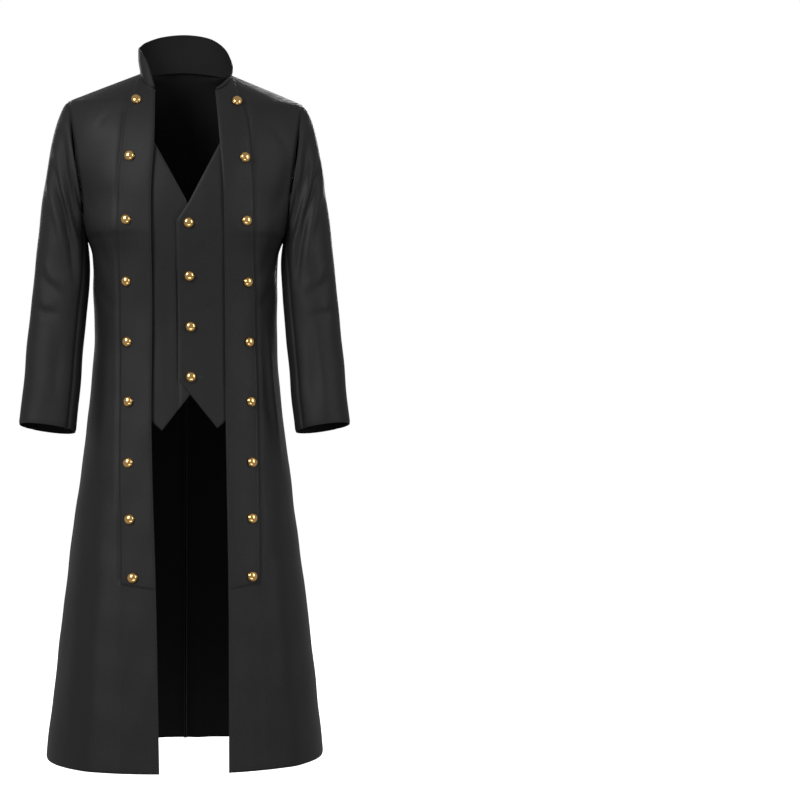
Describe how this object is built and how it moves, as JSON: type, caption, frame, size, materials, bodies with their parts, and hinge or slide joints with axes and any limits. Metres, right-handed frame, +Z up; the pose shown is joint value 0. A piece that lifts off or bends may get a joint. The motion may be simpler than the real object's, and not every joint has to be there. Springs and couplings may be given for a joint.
{
  "type": "frock coat",
  "caption": "Knee-length black frock coat with stand collar, open button-band fronts over a mock waistcoat, and a back waist laced through eyelet tabs.",
  "frame": {"origin": "middle of the base of the neck, level with where the shoulder seams meet the collar, on the line of the shoulder seams", "axes": "+Z up, -Y the front of the coat, +X the wearer's left"},
  "size_m": [0.6488, 0.4214, 1.4468],
  "materials": {
    "coat_cloth": "black cotton twill, soft sheen",
    "gilt_brass": "polished gilt",
    "nickel": "bright nickel plate",
    "lace_braid": "flat black woven braid"
  },
  "bodies": {
    "root": {"front_right": "coat_cloth", "front_left": "coat_cloth", "back_bodice": "coat_cloth", "back_skirt_right": "coat_cloth", "back_skirt_left": "coat_cloth", "collar": "coat_cloth", "upper_sleeve_right": "coat_cloth", "upper_sleeve_left": "coat_cloth", "under_sleeve_right": "coat_cloth", "under_sleeve_left": "coat_cloth", "placket_right": "coat_cloth", "placket_left": "coat_cloth", "vest_right": "coat_cloth", "vest_left": "coat_cloth", "lacing_tab_right": "coat_cloth", "lacing_tab_left": "coat_cloth", "button_right_1": "gilt_brass", "button_right_2": "gilt_brass", "button_right_3": "gilt_brass", "button_right_4": "gilt_brass", "button_right_5": "gilt_brass", "button_right_6": "gilt_brass", "button_right_7": "gilt_brass", "button_right_8": "gilt_brass", "button_right_9": "gilt_brass", "button_left_1": "gilt_brass", "button_left_2": "gilt_brass", "button_left_3": "gilt_brass", "button_left_4": "gilt_brass", "button_left_5": "gilt_brass", "button_left_6": "gilt_brass", "button_left_7": "gilt_brass", "button_left_8": "gilt_brass", "button_left_9": "gilt_brass", "button_vest_1": "gilt_brass", "button_vest_2": "gilt_brass", "button_vest_3": "gilt_brass", "button_vest_4": "gilt_brass", "eyelet_right_1": "nickel", "eyelet_right_2": "nickel", "eyelet_right_3": "nickel", "eyelet_right_4": "nickel", "eyelet_right_5": "nickel", "eyelet_left_1": "nickel", "eyelet_left_2": "nickel", "eyelet_left_3": "nickel", "eyelet_left_4": "nickel", "eyelet_left_5": "nickel", "lacing": "lace_braid", "lace_end_left": "lace_braid", "lace_end_right": "lace_braid"}
  },
  "joints": []
}
